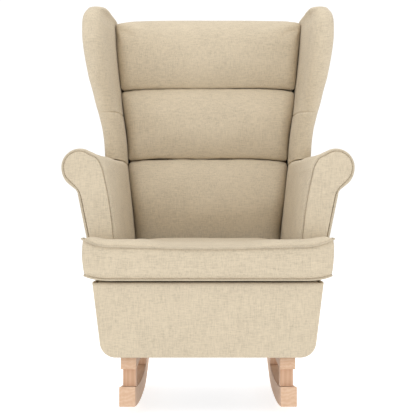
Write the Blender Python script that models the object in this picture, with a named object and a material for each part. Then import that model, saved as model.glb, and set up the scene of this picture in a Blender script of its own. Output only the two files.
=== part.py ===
"""A wing-back rocking armchair on two curved wooden runners, with a loose T-shaped seat cushion.

Metres. X runs across the chair, Y from front to back, Z up from the floor. The origin is on the floor, in the
middle of the chair's bounding box. "left" is the -X side. Depths are measured back from the front of the seat
cushion and turned into Y by y_at().
"""

import math

import bmesh
import bpy

# Overall
TOTAL_DEPTH = 0.868
GAP = 0.0004
SIDES = (("left", -1), ("right", 1))

# Runners: a flat under the centre of mass, a long arc to the front and a tighter one to the back
RUNNER_X = 0.1905
RUNNER_THICKNESS = 0.038
RUNNER_HEIGHT = 0.047
RUNNER_FRONT = 0.008
RUNNER_REAR = 0.868
FLAT_CENTRE = 0.424
FLAT_HALF = 0.038
FRONT_RISE = 0.0205
REAR_RADIUS = 1.17
RUNNER_STEPS = 9

# Bearers and legs
BEARER_X = 0.1888
BEARER_THICKNESS = 0.0365
BEARER_BOTTOM = 0.1063
BEARER_TOP = 0.1377
BEARER_DEPTHS = (0.030, 0.735)
LEG_X = 0.1873
LEG_THICKNESS = 0.0305
LEG_DEPTH = 0.062
LEG_FRONTS = {"front_leg": 0.050, "rear_leg": 0.606}
TENON_THICKNESS = 0.014
TENON_DEPTH = 0.040
TENON_LENGTH = 0.018

# Bolts that hold the bearers under the side rails
BASE_BOLT_DEPTHS = {"front": 0.180, "rear": 0.500}
BOLT_RADIUS = 0.0038
BOLT_HOLE_RADIUS = 0.0044
COUNTERBORE_RADIUS = 0.0108
COUNTERBORE_TOP = 0.1165
BOLT_HEAD_RADIUS = 0.0068
BOLT_HEAD_HEIGHT = 0.005
BASE_BOLT_TOP = 0.185
BOLT_SIDES = 6
HOLE_SIDES = 10
BACK_BOLT_X = 0.1655
BACK_BOLT_HEIGHT = 0.220
BACK_BOLT_DEPTHS = (0.6095, 0.660)

# Seat box of timber rails
BODY_BOTTOM = 0.138
DUST_COVER_THICKNESS = 0.0012
RAIL_BOTTOM = 0.140
END_RAIL_BOTTOM = 0.1462
END_RAIL_FOOT_LEAN = 0.30
RAIL_TOP = 0.300
FRONT_RAIL_DEPTH = 0.0265
FRONT_RAIL_THICKNESS = 0.040
REAR_RAIL_DEPTH = 0.6105
REAR_RAIL_THICKNESS = 0.022
SIDE_RAIL_X = 0.189
SIDE_RAIL_THICKNESS = 0.026

# Outer side of the body and of the arms: it leans out, and more so above the seat
BEND_HEIGHT = 0.314
BEND_X = 0.274
LOWER_LEAN = 0.1235
UPPER_LEAN = 0.2035
CORNER_RADIUS = 0.038
CORNER_STEPS = 5
COVER_THICKNESS = 0.007
BOARD_THICKNESS = 0.018
BOARD_BOTTOM = 0.178
BOARD_TOP = 0.532

# Springs and deck
SPRING_COUNT = 4
SPRING_PITCH = 0.086
SPRING_HALF_WIDTH = 0.024
SPRING_ROWS = 12
SPRING_DEPTHS = (0.0375, 0.6215)
SPRING_HEIGHT = 0.3026
WIRE_RADIUS = 0.0014
CLIP_STRIP_X = 0.165
CLIP_STRIP_STEEL = 0.0006
CLIP_STRIP_HEIGHTS = (0.3003, 0.3050)
CLIP_STRIP_LIP = 0.005
CLIP_STRIP_FOLD = 0.004
DECK_HEIGHTS = (0.3055, 0.3130)
DECK_EAR_DEPTH = 0.094
DECK_EAR_X = 0.2632
DECK_X = 0.205

# Front panel
FRONT_PANEL_DEPTHS = (0.0140, 0.0245)
FRONT_PANEL_TOP = 0.3135

# Seat cushion: T-shaped, with ears that sit in front of the arms
CUSHION_FRONT = 0.0065
CUSHION_REAR = 0.520
EAR_X = 0.2945
EAR_REAR = 0.090
NECK_X = 0.2095
REAR_X = 0.1855
CUSHION_BOTTOM = 0.3165
CUSHION_TOP = 0.3980
CUSHION_CROWN = 0.4110
CROWN_INSET = 0.034
EDGE_CHAMFER = 0.006
FABRIC = 0.0015
PIPING_RADIUS = 0.0030
PIPING_OFFSET = 0.0035
ZIP_HALF_WIDTH = 0.150
ZIP_HEIGHTS = (0.350, 0.358)
ZIP_TAPE_MARGINS = (0.010, 0.006)
ZIP_TAPE_THICKNESS = 0.001
SLIDER_LENGTH = 0.012
SLIDER_THICKNESS = 0.0024

# Back: posts that stand upright to the seat and lean back above it
POST_FRONT = 0.633
POST_DEPTH = 0.040
POST_TOP = 0.977
POST_WIDTH = 0.056
POST_INNER_X = 0.180
POST_LEAN = 0.06
POST_LEAN_HEIGHT = 0.63
RECLINE_START = 0.300
RECLINE = 0.1475
BACK_PANEL_GAP = 0.001
BACK_PANEL_THICKNESS = 0.005
BACK_RAIL_THICKNESS = 0.022
BACK_RAILS = {
    "back_rail_top": (0.930, 0.9765),
    "back_rail_middle": (0.640, 0.680),
    "back_rail_lower": (0.345, 0.395),
}
WEBBING_WIDTH = 0.050
WEBBING_THICKNESS = 0.0012
WEBBING_HEIGHTS = (0.460, 0.585, 0.735, 0.865)
WEBBING_X = 0.090
WEBBING_END = 0.004

# Back cushions: three stacked rolls
ROLLS = {
    "back_cushion_bottom": (0.330, 0.6225),
    "back_cushion_middle": (0.6255, 0.8185),
    "back_cushion_top": (0.8215, 1.0125),
}
ROLL_EDGE = 0.078
ROLL_CROWN = 0.040
ROLL_STEPS = 8
ROLL_HALF_WIDTH = 0.198
ROLL_WIDTH_HEIGHT = 0.41
ROLL_FLARE = 0.0966
ROLL_FULLNESS = ((-1, 0.55), (-0.93, 0.85), (0, 1), (0.93, 0.85), (1, 0.55))
TOP_ROLL_SHOULDER = (0.85, 0.0175)
TOP_ROLL_PEAK = 0.45
TOP_ROLL_REAR = ((0.012, 0.003), (0.0004, 0.014))

# Arms: a flat inner face that rises into a roll on the outside
ARM_FRONT = 0.107
ARM_BOTTOM = 0.318
ROLL_CENTRE_X = 0.311
ROLL_CENTRE_Z = 0.588
ROLL_RADIUS = 0.046
ROLL_DROP = 0.052
ROLL_ANGLES = (130, 108, 86, 62, 38, 12, -14, -40, -64)
NECK = (0.3195, 0.5320)
SHOULDER = (0.2640, 0.6140)
SHOULDER_SHIFT = 0.036
INNER_FRONT = (0.2207, -0.041, 0.55)
INNER_REAR = (0.1935, 0.05, 0.16)
INNER_HEIGHTS = (0.318, 0.420, 0.494, 0.548, 0.590)
ARM_TAPER_DEPTH = 0.500
ARM_PANEL_DEPTHS = (0.0982, 0.1065)
ARM_PANEL_INSET = 0.0068
ARM_PIPING_DEPTH = 0.1015
ARM_PIPING_RADIUS = 0.0028

# Wings: height, outer X of the front edge, depth of the front edge
WING_LEVELS = (
    (0.622, 0.2735, 0.470),
    (0.660, 0.278, 0.462),
    (0.712, 0.285, 0.447),
    (0.764, 0.299, 0.422),
    (0.826, 0.3145, 0.390),
    (0.888, 0.3245, 0.368),
    (0.937, 0.3305, 0.358),
    (0.975, 0.3305, 0.362),
    (1.002, 0.3265, 0.376),
    (1.021, 0.312, 0.404),
)
WING_THICKNESS = 0.052
WING_TOP_THICKNESS = 0.034
WING_REAR_X = 0.274
WING_INNER_X = 0.2202
WING_INNER_FLARE = 0.0981
WING_BOARD_X = 0.2431
WING_BOARD_LEAN = 0.04
WING_BOARD_HALF = 0.006
WING_BOARD_OUTLINE = ((0.520, 0.626), (0.505, 0.720), (0.500, 0.820), (0.500, 0.905), (0.530, 0.950))
WING_BOARD_TOP = 0.950
WING_NOSE = (0.010, 0.034)
WING_NOSE_INSET = 0.008

MATERIALS = {
    "linen": ((0.68, 0.58, 0.44), 0.9, 0.0),
    "foam": ((0.80, 0.74, 0.55), 0.95, 0.0),
    "beech": ((0.74, 0.52, 0.37), 0.45, 0.0),
    "frame_timber": ((0.66, 0.50, 0.32), 0.7, 0.0),
    "steel": ((0.45, 0.45, 0.46), 0.35, 1.0),
    "webbing": ((0.18, 0.16, 0.13), 0.9, 0.0),
    "underlining": ((0.05, 0.05, 0.05), 0.95, 0.0),
    "zip_plastic": ((0.62, 0.54, 0.42), 0.5, 0.0),
}


def y_at(depth):
    """Y of a point that lies this far behind the front of the seat cushion."""
    return depth - TOTAL_DEPTH / 2


def blend(low, high, part):
    return low + (high - low) * part


def clear_scene():
    for thing in list(bpy.data.objects):
        bpy.data.objects.remove(thing, do_unlink=True)


def make_materials():
    """One Principled material for each finish."""
    made = {}
    for name, (colour, roughness, metallic) in MATERIALS.items():
        material = bpy.data.materials.new(name)
        material.use_nodes = True
        shader = material.node_tree.nodes["Principled BSDF"]
        shader.inputs["Base Color"].default_value = (*colour, 1.0)
        shader.inputs["Roughness"].default_value = roughness
        shader.inputs["Metallic"].default_value = metallic
        material.diffuse_color = (*colour, 1.0)
        made[name] = material
    return made


def finish_object(name, shape, material, smooth=False):
    """Turns a bmesh into a named object whose faces point out."""
    bmesh.ops.recalc_face_normals(shape, faces=shape.faces)
    mesh = bpy.data.meshes.new(name)
    shape.to_mesh(mesh)
    shape.free()
    mesh.materials.append(material)
    if smooth:
        mesh.shade_smooth()
        mesh.set_sharp_from_angle(angle=math.radians(35))
    made = bpy.data.objects.new(name, mesh)
    bpy.context.scene.collection.objects.link(made)
    return made


def loft(shape, rings):
    """Adds a closed solid through rings of (x, depth, z) points, each with the same number of points."""
    rows = [[shape.verts.new((x, y_at(depth), z)) for x, depth, z in ring] for ring in rings]
    count = len(rows[0])
    for row, following in zip(rows, rows[1:]):
        for index in range(count):
            after = (index + 1) % count
            shape.faces.new((row[index], row[after], following[after], following[index]))
    shape.faces.new(reversed(rows[0]))
    shape.faces.new(rows[-1])


def prism(shape, outline, axis, low, high):
    """Sweeps an outline along an axis: (depth, z) points along x, (x, z) along depth, (x, depth) along z."""
    place = {
        "x": lambda a, b, along: (along, a, b),
        "depth": lambda a, b, along: (a, along, b),
        "z": lambda a, b, along: (a, b, along),
    }[axis]
    loft(shape, [[place(a, b, along) for a, b in outline] for along in (low, high)])


def block(shape, x_range, depth_range, z_range):
    corners = [(x_range[i], depth_range[j]) for i, j in ((0, 0), (1, 0), (1, 1), (0, 1))]
    prism(shape, corners, "z", *z_range)


def stack(shape, levels):
    """Adds a solid of rectangles stacked in Z: each level is (z, x_low, x_high, depth_low, depth_high)."""
    rings = []
    for z, x_low, x_high, front, rear in levels:
        rings.append([(x_low, front, z), (x_high, front, z), (x_high, rear, z), (x_low, rear, z)])
    loft(shape, rings)


def mirrored(side, low, high):
    """A pair of X values for the left (-1) or right (1) side, lowest first."""
    return tuple(sorted((side * low, side * high)))


def sided(side, centre, thickness):
    """The X range of a piece of this thickness on the left (-1) or right (1) side."""
    return mirrored(side, centre - thickness / 2, centre + thickness / 2)


def stepped_bar(shape, centre, axis, steps, sides):
    """Adds a turned bar along z or depth: steps are its (place along the axis, radius) pairs."""
    rings = []
    for along, radius in steps:
        ring = []
        for index in range(sides):
            angle = math.tau * index / sides
            across = centre[0] + radius * math.cos(angle)
            up = centre[1] + radius * math.sin(angle)
            ring.append((across, up, along) if axis == "z" else (across, along, up))
        rings.append(ring)
    loft(shape, rings)


def bolt(shape, centre, axis, head, tip):
    """Adds a hexagon bolt with its head's outer face at head and the end of its shank at tip."""
    shoulder = head + BOLT_HEAD_HEIGHT
    steps = [(head, BOLT_HEAD_RADIUS), (shoulder, BOLT_HEAD_RADIUS)]
    steps += [(shoulder, BOLT_RADIUS), (tip, BOLT_RADIUS)]
    stepped_bar(shape, centre, axis, steps, BOLT_SIDES)


def tube(name, paths, radius, material, closed, resolution=1):
    """A curve object with a round section through each path of (x, depth, z) points."""
    curve = bpy.data.curves.new(name, "CURVE")
    curve.dimensions = "3D"
    curve.bevel_depth = radius
    curve.bevel_resolution = resolution
    curve.use_fill_caps = True
    for path in paths:
        spline = curve.splines.new("POLY")
        spline.points.add(len(path) - 1)
        for point, (x, depth, z) in zip(spline.points, path):
            point.co = (x, y_at(depth), z, 1.0)
        spline.use_cyclic_u = closed
    curve.materials.append(material)
    made = bpy.data.objects.new(name, curve)
    bpy.context.scene.collection.objects.link(made)
    return made


def cut(target, cutter):
    """Takes the cutter's shape out of the target."""
    boolean = target.modifiers.new(cutter.name, "BOOLEAN")
    boolean.operation = "DIFFERENCE"
    boolean.object = cutter


def join(target, other):
    """Sews or welds another shape onto the target."""
    boolean = target.modifiers.new(other.name, "BOOLEAN")
    boolean.operation = "UNION"
    boolean.object = other


def make_cutter(name, shape):
    cutter = finish_object(name, shape, None)
    cutter.hide_render = True
    cutter.display_type = "WIRE"
    return cutter


def ease_edges(target, width):
    """Rounds the sharp edges of a timber piece a little."""
    bevel = target.modifiers.new("eased_edges", "BEVEL")
    bevel.width = width
    bevel.segments = 2
    bevel.limit_method = "ANGLE"
    bevel.angle_limit = math.radians(40)


def inset_outline(outline, distance):
    """Moves each edge of an outline inwards; the outline may run either way round."""
    area = sum(a[0] * b[1] - b[0] * a[1] for a, b in zip(outline, outline[1:] + outline[:1]))
    turn = 1 if area > 0 else -1
    moved = []
    for before, here, after in zip(outline[-1:] + outline[:-1], outline, outline[1:] + outline[:1]):
        normals = []
        for start, end in ((before, here), (here, after)):
            run, rise = end[0] - start[0], end[1] - start[1]
            length = math.hypot(run, rise)
            normals.append((-turn * rise / length, turn * run / length))
        across = normals[0][0] + normals[1][0]
        up = normals[0][1] + normals[1][1]
        scale = 2 * distance / (across * across + up * up)
        moved.append((here[0] + across * scale, here[1] + up * scale))
    return moved


# Outlines shared by several pieces


def outer_x(z):
    """Half-width of the body and of the outside of the arms at a height."""
    lean = LOWER_LEAN if z < BEND_HEIGHT else UPPER_LEAN
    return BEND_X + lean * (z - BEND_HEIGHT)


def body_corner(radius):
    """The rounded lower corner of the body on the right, from the bottom edge up to the side."""
    centre_z = BODY_BOTTOM + CORNER_RADIUS
    tilt = math.atan(LOWER_LEAN)
    centre_x = outer_x(centre_z) - CORNER_RADIUS / math.cos(tilt)
    points = []
    for step in range(CORNER_STEPS + 1):
        angle = blend(-math.pi / 2, -tilt, step / CORNER_STEPS)
        points.append((centre_x + radius * math.cos(angle), centre_z + radius * math.sin(angle)))
    return points


def post_front(z):
    """Depth of the front face of the back posts."""
    return POST_FRONT + RECLINE * max(0.0, z - RECLINE_START)


def panel_front(z):
    """Depth of the front face of the outside back panel."""
    return post_front(z) + POST_DEPTH + BACK_PANEL_GAP


def post_inner(z):
    return POST_INNER_X + POST_LEAN * (z - POST_LEAN_HEIGHT)


def post_outer(z):
    return post_inner(z) + POST_WIDTH


def inner_x(z, taper):
    """Half-width between the arms at a height, from the arm's front (taper 0) to the back cushion (taper 1)."""
    rise = z - ARM_BOTTOM
    front = INNER_FRONT[0] + INNER_FRONT[1] * rise + INNER_FRONT[2] * rise**2
    rear = INNER_REAR[0] + INNER_REAR[1] * rise + INNER_REAR[2] * rise**2
    return blend(front, rear, taper)


def arm_top(taper):
    """The arm's section from the foot of its inner face, over the roll, to the neck under the roll."""
    points = [(inner_x(z, taper), z) for z in INNER_HEIGHTS]
    points.append((SHOULDER[0] - SHOULDER_SHIFT * taper, SHOULDER[1]))
    for angle in map(math.radians, ROLL_ANGLES):
        x = ROLL_CENTRE_X + ROLL_RADIUS * math.cos(angle)
        z = ROLL_CENTRE_Z + (ROLL_RADIUS if angle > 0 else ROLL_DROP) * math.sin(angle)
        points.append((x, z))
    points.append(NECK)
    return points


def t_outline(inset):
    """The seat cushion's outline from above, clockwise from the front left ear."""
    ear, neck, rear = EAR_X - inset, NECK_X - inset, REAR_X - inset
    front, notch, back = CUSHION_FRONT + inset, EAR_REAR - inset, CUSHION_REAR - inset
    half = [(ear, front), (ear, notch), (neck, notch), (rear, back)]
    return half + [(-x, depth) for x, depth in reversed(half)]


def runner_bottom(depth):
    """Height of the runner's lower edge."""
    ahead = FLAT_CENTRE - FLAT_HALF - depth
    behind = depth - FLAT_CENTRE - FLAT_HALF
    if ahead > 0:
        return FRONT_RISE * (ahead / (FLAT_CENTRE - FLAT_HALF - RUNNER_FRONT)) ** 2
    if behind > 0:
        return behind**2 / (2 * REAR_RADIUS)
    return 0.0


def runner_top(depth):
    return runner_bottom(depth) + RUNNER_HEIGHT


# Rocking base


def make_runner(name, side, material):
    """The curved rocker: its lower edge is flat under the centre of mass and rises to both ends."""
    stations = []
    for start, end in ((RUNNER_FRONT, FLAT_CENTRE - FLAT_HALF), (FLAT_CENTRE + FLAT_HALF, RUNNER_REAR)):
        stations += [blend(start, end, step / RUNNER_STEPS) for step in range(RUNNER_STEPS + 1)]
    outline = [(depth, runner_bottom(depth)) for depth in stations]
    outline += [(depth, runner_top(depth)) for depth in reversed(stations)]
    shape = bmesh.new()
    prism(shape, outline, "x", *sided(side, RUNNER_X, RUNNER_THICKNESS))
    runner = finish_object(name, shape, material)
    ease_edges(runner, 0.0015)
    return runner


def make_leg(name, side, front, material):
    """A short leg with a tenon at each end, its foot cut to the slope of the runner. Returns its mortises."""
    rear = front + LEG_DEPTH
    middle = (front + rear) / 2
    slope = (runner_top(rear) - runner_top(front)) / LEG_DEPTH

    def ring(thickness, depth, height, follow):
        x_low, x_high = sided(side, LEG_X, thickness)
        near, far = middle - depth / 2, middle + depth / 2
        rise = {near: follow * slope * (near - middle), far: follow * slope * (far - middle)}
        corners = ((x_low, near), (x_high, near), (x_high, far), (x_low, far))
        return [(x, d, height + rise[d]) for x, d in corners]

    foot = (runner_top(front) + runner_top(rear)) / 2 + 2 * GAP
    head = BEARER_BOTTOM - GAP
    shape = bmesh.new()
    loft(
        shape,
        [
            ring(TENON_THICKNESS, TENON_DEPTH, foot - TENON_LENGTH, 0),
            ring(TENON_THICKNESS, TENON_DEPTH, foot, 1),
            ring(LEG_THICKNESS, LEG_DEPTH, foot, 1),
            ring(LEG_THICKNESS, LEG_DEPTH, head, 0),
            ring(TENON_THICKNESS, TENON_DEPTH, head, 0),
            ring(TENON_THICKNESS, TENON_DEPTH, head + TENON_LENGTH, 0),
        ],
    )
    finish_object(name, shape, material)

    shape = bmesh.new()
    x_range = sided(side, LEG_X, TENON_THICKNESS + 2 * GAP)
    depth_range = (middle - TENON_DEPTH / 2 - GAP, middle + TENON_DEPTH / 2 + GAP)
    block(shape, x_range, depth_range, (foot - TENON_LENGTH - GAP, foot + TENON_LENGTH))
    block(shape, x_range, depth_range, (head - TENON_LENGTH / 2, head + TENON_LENGTH + GAP))
    return make_cutter(name + "_mortises", shape)


def make_base(materials):
    """Runners, legs and bearers, with the bolts that hold the bearers under the seat."""
    beech, steel = materials["beech"], materials["steel"]
    holes = bmesh.new()
    head = COUNTERBORE_TOP - GAP - BOLT_HEAD_HEIGHT
    for word, side in SIDES:
        for place, depth in BASE_BOLT_DEPTHS.items():
            centre = (side * SIDE_RAIL_X, depth)
            steps = [(BEARER_BOTTOM - 0.01, COUNTERBORE_RADIUS), (COUNTERBORE_TOP, COUNTERBORE_RADIUS)]
            steps += [(COUNTERBORE_TOP, BOLT_HOLE_RADIUS), (BASE_BOLT_TOP + 0.002, BOLT_HOLE_RADIUS)]
            stepped_bar(holes, centre, "z", steps, HOLE_SIDES)
            shape = bmesh.new()
            bolt(shape, centre, "z", head, BASE_BOLT_TOP)
            finish_object(f"base_bolt_{word}_{place}", shape, steel)
    bolt_holes = make_cutter("base_bolt_holes", holes)
    for word, side in SIDES:
        runner = make_runner(f"runner_{word}", side, beech)
        shape = bmesh.new()
        block(shape, sided(side, BEARER_X, BEARER_THICKNESS), BEARER_DEPTHS, (BEARER_BOTTOM, BEARER_TOP))
        bearer = finish_object(f"bearer_{word}", shape, beech)
        ease_edges(bearer, 0.0015)
        cut(bearer, bolt_holes)
        for leg_name, front in LEG_FRONTS.items():
            mortises = make_leg(f"{leg_name}_{word}", side, front, beech)
            cut(runner, mortises)
            cut(bearer, mortises)
    return bolt_holes


# Seat box


def make_seat_frame(materials, bolt_holes):
    """Front, rear and side rails; the ends of the front and rear rails lean with the arm boards."""
    timber = materials["frame_timber"]
    for name, front, thickness in (
        ("seat_rail_front", FRONT_RAIL_DEPTH, FRONT_RAIL_THICKNESS),
        ("seat_rail_rear", REAR_RAIL_DEPTH, REAR_RAIL_THICKNESS),
    ):
        shape = bmesh.new()
        levels = []
        for z in (END_RAIL_BOTTOM, BOARD_BOTTOM, RAIL_TOP):
            half = outer_x(max(z, BOARD_BOTTOM)) - COVER_THICKNESS - BOARD_THICKNESS - 3 * GAP
            half -= END_RAIL_FOOT_LEAN * max(0.0, BOARD_BOTTOM - z)
            levels.append((z, -half, half, front, front + thickness))
        stack(shape, levels)
        rail = finish_object(name, shape, timber)
        if name == "seat_rail_rear":
            cut(rail, make_back_bolts(materials["steel"]))

    side_rail_depths = (FRONT_RAIL_DEPTH + FRONT_RAIL_THICKNESS + GAP, REAR_RAIL_DEPTH - GAP)
    for word, side in SIDES:
        shape = bmesh.new()
        block(shape, sided(side, SIDE_RAIL_X, SIDE_RAIL_THICKNESS), side_rail_depths, (RAIL_BOTTOM, RAIL_TOP))
        rail = finish_object(f"seat_rail_{word}", shape, timber)
        cut(rail, bolt_holes)

    shape = bmesh.new()
    lip = body_corner(CORNER_RADIUS)[0][0] - 2 * GAP
    depths = (FRONT_RAIL_DEPTH, panel_front(RAIL_BOTTOM) - GAP)
    block(shape, (-lip, lip), depths, (BODY_BOTTOM, BODY_BOTTOM + DUST_COVER_THICKNESS))
    dust_cover = finish_object("dust_cover", shape, materials["underlining"])
    cut(dust_cover, bolt_holes)


def make_back_bolts(steel):
    """Bolts from inside the seat box into the feet of the back posts, and the cutter for their holes."""
    holes = bmesh.new()
    head = BACK_BOLT_DEPTHS[0] - BOLT_HEAD_HEIGHT
    for word, side in SIDES:
        centre = (side * BACK_BOLT_X, BACK_BOLT_HEIGHT)
        shape = bmesh.new()
        bolt(shape, centre, "depth", head, BACK_BOLT_DEPTHS[1])
        finish_object(f"back_bolt_{word}", shape, steel)
        ends = (BACK_BOLT_DEPTHS[0] - 0.002, BACK_BOLT_DEPTHS[1] + 0.001)
        stepped_bar(holes, centre, "depth", [(end, BOLT_HOLE_RADIUS) for end in ends], HOLE_SIDES)
    return make_cutter("back_bolt_holes", holes)


def make_springs(materials):
    """Zigzag springs from the front rail to the rear rail, their ends held in folded clip strips."""
    steel = materials["steel"]
    front, rear = SPRING_DEPTHS
    for index in range(SPRING_COUNT):
        centre = (index - (SPRING_COUNT - 1) / 2) * SPRING_PITCH
        path = []
        for row in range(SPRING_ROWS):
            depth = blend(front, rear, row / (SPRING_ROWS - 1))
            ends = (-SPRING_HALF_WIDTH, SPRING_HALF_WIDTH)
            for end in ends if row % 2 == 0 else reversed(ends):
                path.append((centre + end, depth, SPRING_HEIGHT))
        tube(f"seat_spring_{index + 1}", [path], WIRE_RADIUS, steel, closed=False, resolution=0)
    low, high = CLIP_STRIP_HEIGHTS
    back, inner, lip = -CLIP_STRIP_FOLD, CLIP_STRIP_STEEL - CLIP_STRIP_FOLD, CLIP_STRIP_LIP
    fold = [(back, low), (lip, low), (lip, low + CLIP_STRIP_STEEL), (inner, low + CLIP_STRIP_STEEL)]
    fold += [(inner, high - CLIP_STRIP_STEEL), (lip, high - CLIP_STRIP_STEEL), (lip, high), (back, high)]
    for word, depth, direction in (("front", front, 1), ("rear", rear, -1)):
        shape = bmesh.new()
        outline = [(depth + direction * along, z) for along, z in fold]
        prism(shape, outline, "x", -CLIP_STRIP_X, CLIP_STRIP_X)
        finish_object(f"spring_strip_{word}", shape, steel)


def make_deck(materials):
    """The sewn platform that the seat cushion lies on."""
    shape = bmesh.new()
    rear = panel_front(RAIL_TOP) - POST_DEPTH - 2 * GAP
    half = [(DECK_EAR_X, FRONT_RAIL_DEPTH), (DECK_EAR_X, DECK_EAR_DEPTH)]
    half += [(DECK_X, DECK_EAR_DEPTH), (DECK_X, rear)]
    outline = half + [(-x, depth) for x, depth in reversed(half)]
    prism(shape, outline, "z", *DECK_HEIGHTS)
    finish_object("seat_deck", shape, materials["linen"])


# Body covers


def make_front_panel(materials):
    """The padded panel under the cushion, with round lower corners."""
    right = body_corner(CORNER_RADIUS) + [(outer_x(FRONT_PANEL_TOP), FRONT_PANEL_TOP)]
    outline = right + [(-x, z) for x, z in reversed(right)]
    shape = bmesh.new()
    prism(shape, outline, "depth", *FRONT_PANEL_DEPTHS)
    finish_object("front_panel", shape, materials["linen"])


def make_side_panel(name, side, material):
    """The cover along the side of the seat box, turned under at the bottom."""
    top = FRONT_PANEL_TOP
    outline = body_corner(CORNER_RADIUS) + [(outer_x(top), top), (outer_x(top) - COVER_THICKNESS, top)]
    outline += reversed(body_corner(CORNER_RADIUS - COVER_THICKNESS))
    shape = bmesh.new()
    front = FRONT_PANEL_DEPTHS[1] + GAP
    rear = panel_front(RAIL_BOTTOM) - 2 * GAP
    prism(shape, [(side * x, z) for x, z in outline], "depth", front, rear)
    finish_object(name, shape, material)


def make_outside_back(materials):
    """The flat cover behind the back, from the seat's lower edge to the top."""
    half_widths = [(z, x) for x, z in body_corner(CORNER_RADIUS)]
    half_widths += [(z, outer_x(z)) for z in (RECLINE_START, BEND_HEIGHT, 0.528)]
    half_widths += [(0.600, 0.300), (0.640, 0.2745), (0.930, 0.2745), (0.980, 0.264), (1.000, 0.246)]
    levels = []
    for z, half in half_widths:
        front = panel_front(z) + GAP
        levels.append((z, -half, half, front, front + BACK_PANEL_THICKNESS))
    shape = bmesh.new()
    stack(shape, levels)
    finish_object("outside_back", shape, materials["linen"])


# Back


def make_back_frame(materials):
    """Two cranked posts, three cross rails and woven webbing."""
    timber = materials["frame_timber"]
    holes = bpy.data.objects["back_bolt_holes"]
    for word, side in SIDES:
        levels = []
        for z in (RAIL_BOTTOM, RECLINE_START, POST_TOP):
            x_low, x_high = mirrored(side, post_inner(z), post_outer(z))
            levels.append((z, x_low, x_high, post_front(z), post_front(z) + POST_DEPTH))
        shape = bmesh.new()
        stack(shape, levels)
        cut(finish_object(f"back_post_{word}", shape, timber), holes)

    inset = (POST_DEPTH - BACK_RAIL_THICKNESS) / 2
    for name, heights in BACK_RAILS.items():
        levels = []
        for z in heights:
            half = post_inner(z) - GAP
            levels.append((z, -half, half, post_front(z) + inset, post_front(z) + inset + BACK_RAIL_THICKNESS))
        shape = bmesh.new()
        stack(shape, levels)
        finish_object(name, shape, timber)

    shape = bmesh.new()
    for centre in WEBBING_HEIGHTS:
        levels = []
        for z in (centre - WEBBING_WIDTH / 2, centre + WEBBING_WIDTH / 2):
            half = post_outer(z) - WEBBING_END
            rear = post_front(z) - GAP
            levels.append((z, -half, half, rear - WEBBING_THICKNESS, rear))
        stack(shape, levels)
    webbing = finish_object("back_webbing", shape, materials["webbing"])
    shape = bmesh.new()
    for centre in (-WEBBING_X, WEBBING_X):
        levels = []
        for z in (BACK_RAILS["back_rail_lower"][0], BACK_RAILS["back_rail_top"][1]):
            rear = post_front(z) - GAP - WEBBING_THICKNESS / 2
            x_low, x_high = centre - WEBBING_WIDTH / 2, centre + WEBBING_WIDTH / 2
            levels.append((z, x_low, x_high, rear - WEBBING_THICKNESS, rear))
        stack(shape, levels)
    join(webbing, make_cutter("upright_webbing", shape))


def cushion_rear(z):
    """Depth of the back of the back cushions, just clear of the webbing."""
    return post_front(z) - 4 * GAP - 2 * WEBBING_THICKNESS


def roll_section(name, low, high, fullness):
    """One roll from the side, as (depth, z): a bulging front and a flat back."""
    points = []
    for step in range(ROLL_STEPS + 1):
        part = step / ROLL_STEPS
        z = blend(low, high, part)
        bulge = math.sqrt(max(0.0, 1 - (2 * part - 1) ** 2))
        points.append((cushion_rear(z) - ROLL_EDGE - ROLL_CROWN * fullness * bulge, z))
    if name == "back_cushion_top":
        # The top roll is rounded over and reaches back over the posts to the outside back.
        edge_share, drop = TOP_ROLL_SHOULDER
        points[-1] = (cushion_rear(high - drop) - ROLL_EDGE * edge_share, high - drop)
        over = POST_TOP + 4 * GAP
        points.append((cushion_rear(high) - ROLL_EDGE * TOP_ROLL_PEAK, high))
        points += [(panel_front(over) - ahead, high - down) for ahead, down in TOP_ROLL_REAR]
        points += [(panel_front(over) - GAP, over), (cushion_rear(over), over)]
    else:
        points.append((cushion_rear(high), high))
    points.append((cushion_rear(low), low))
    return points


def make_back_cushions(materials):
    """Three stuffed rolls, one above another, wider towards the top."""
    for name, (low, high) in ROLLS.items():
        rings = []
        for part, fullness in ROLL_FULLNESS:
            ring = []
            for depth, z in roll_section(name, low, high, fullness):
                half = ROLL_HALF_WIDTH + ROLL_FLARE * (z - ROLL_WIDTH_HEIGHT)
                ring.append((part * half, depth, z))
            rings.append(ring)
        shape = bmesh.new()
        loft(shape, rings)
        finish_object(name, shape, materials["linen"], smooth=True)


# Arms


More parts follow.
